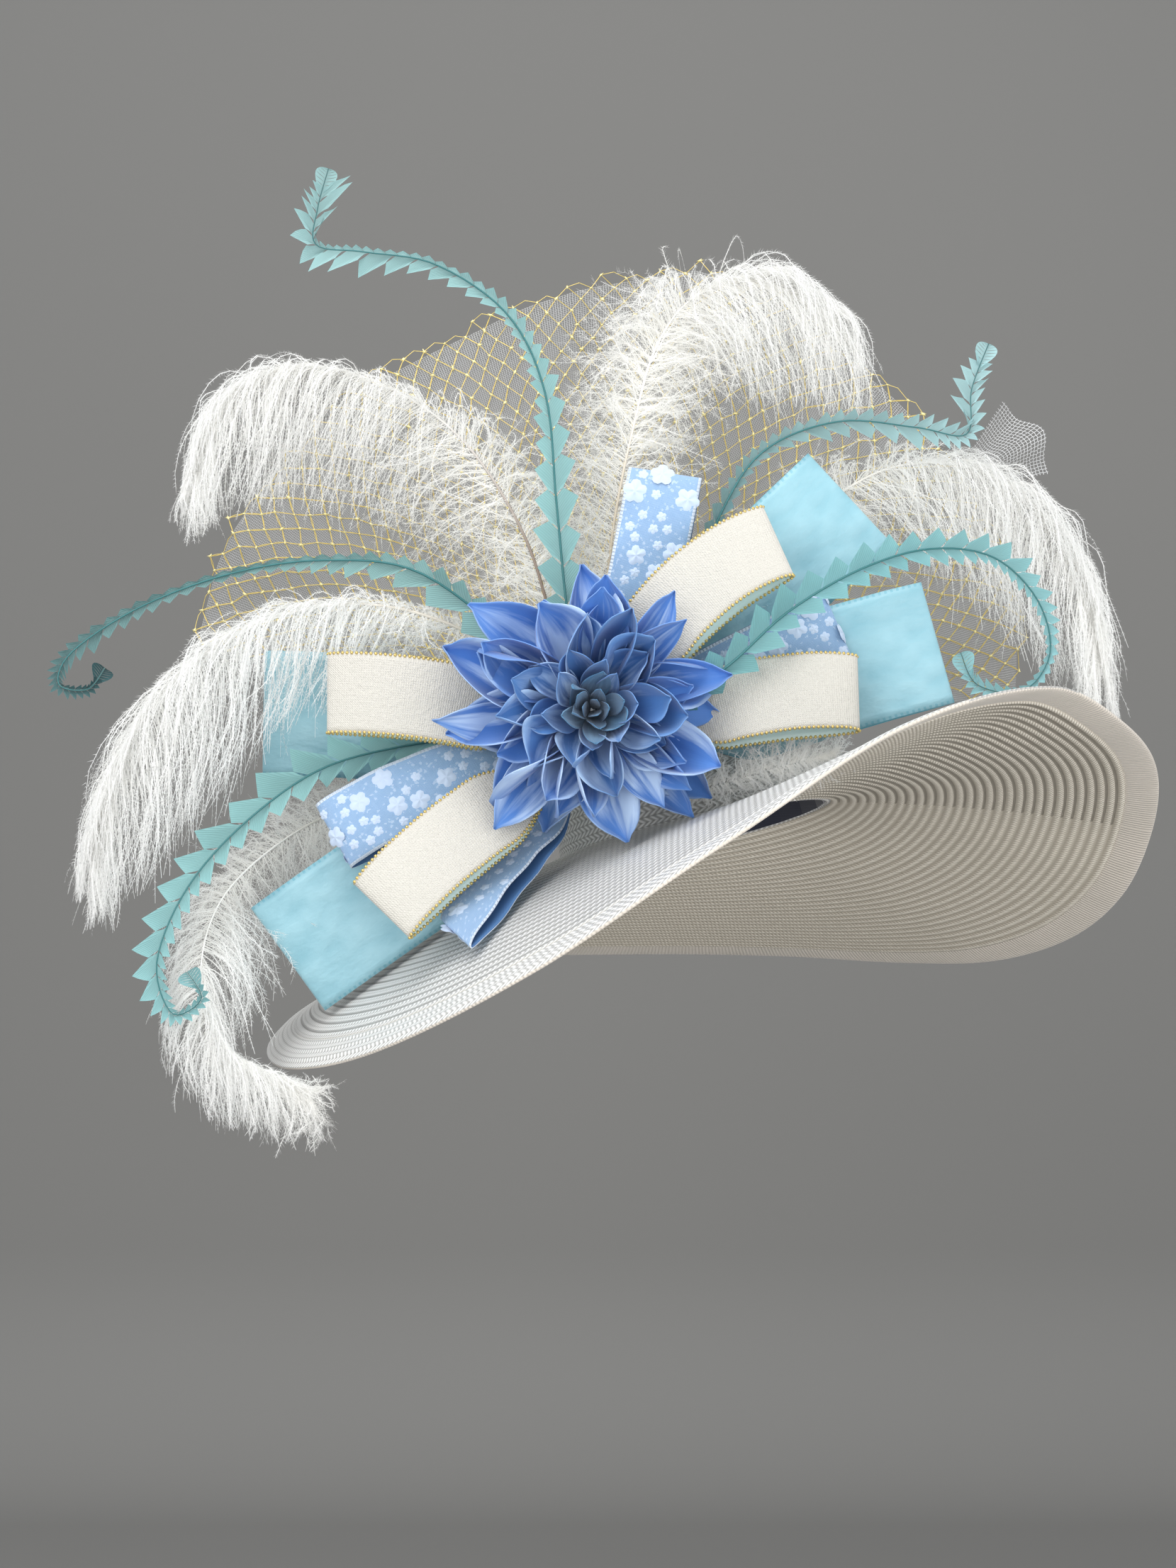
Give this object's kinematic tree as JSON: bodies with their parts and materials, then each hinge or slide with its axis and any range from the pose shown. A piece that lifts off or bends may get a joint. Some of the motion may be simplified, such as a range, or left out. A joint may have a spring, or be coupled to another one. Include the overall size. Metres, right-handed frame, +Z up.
{
  "type": "church hat",
  "caption": "Wide-brimmed sewn-braid dress hat with a swooping brim, trimmed with a large cloth flower, ribbon loops, ostrich plumes, trimmed quills and a gold net veil.",
  "frame": {"origin": "middle of the head opening, in the plane where the brim meets the crown, as the hat is worn", "axes": "+Z up as worn, +X to the front of the hat, -Y to the trimmed side; the head opening leans 13 degrees up to the front and 9 degrees up to the trimmed side"},
  "size_m": [0.7744, 0.6152, 0.6716],
  "materials": {
    "sewn_braid": "glossy white plaited braid sewn in rows",
    "brim_edge": "smooth matt cloth binding with fine ribs",
    "sweatband": "dark ribbed ribbon",
    "trim_base": "stiffened plain cloth",
    "net": "metallic gold thread over fine white tulle",
    "plume": "soft white ostrich barbs",
    "quill": "stiff trimmed vanes, satin",
    "satin_ribbon": "glossy satin",
    "cream_ribbon": "matt weave with beaded metallic edges",
    "floral_ribbon": "matt weave with raised flowers",
    "petal": "matt cloth, darker at the root",
    "flower_centre": "matt cloth"
  },
  "bodies": {
    "root": {"crown_tip": "sewn_braid", "crown": "sewn_braid", "brim": "sewn_braid", "brim_hem": "brim_edge", "sweatband": "sweatband", "trim_base": "trim_base", "veil_net": "net", "plume_upper_left": "plume", "plume_upper_centre": "plume", "plume_right": "plume", "plume_left": "plume", "plume_lower_left": "plume", "quill_top": "quill", "quill_upper_right": "quill", "quill_right": "quill", "quill_left": "quill", "quill_lower_left": "quill", "satin_loop_left": "satin_ribbon", "satin_loop_lower_left": "satin_ribbon", "satin_loop_upper_right": "satin_ribbon", "satin_loop_right": "satin_ribbon", "cream_loop_left": "cream_ribbon", "cream_loop_lower_left": "cream_ribbon", "cream_loop_upper_right": "cream_ribbon", "cream_loop_right": "cream_ribbon", "floral_loop_left": "floral_ribbon", "floral_loop_bottom": "floral_ribbon", "floral_loop_top": "floral_ribbon", "floral_loop_right": "floral_ribbon", "petals_1": "petal", "petals_2": "petal", "petals_3": "petal", "petals_4": "petal", "petals_5": "petal", "petals_6": "petal", "dahlia_centre": "flower_centre"}
  },
  "joints": []
}
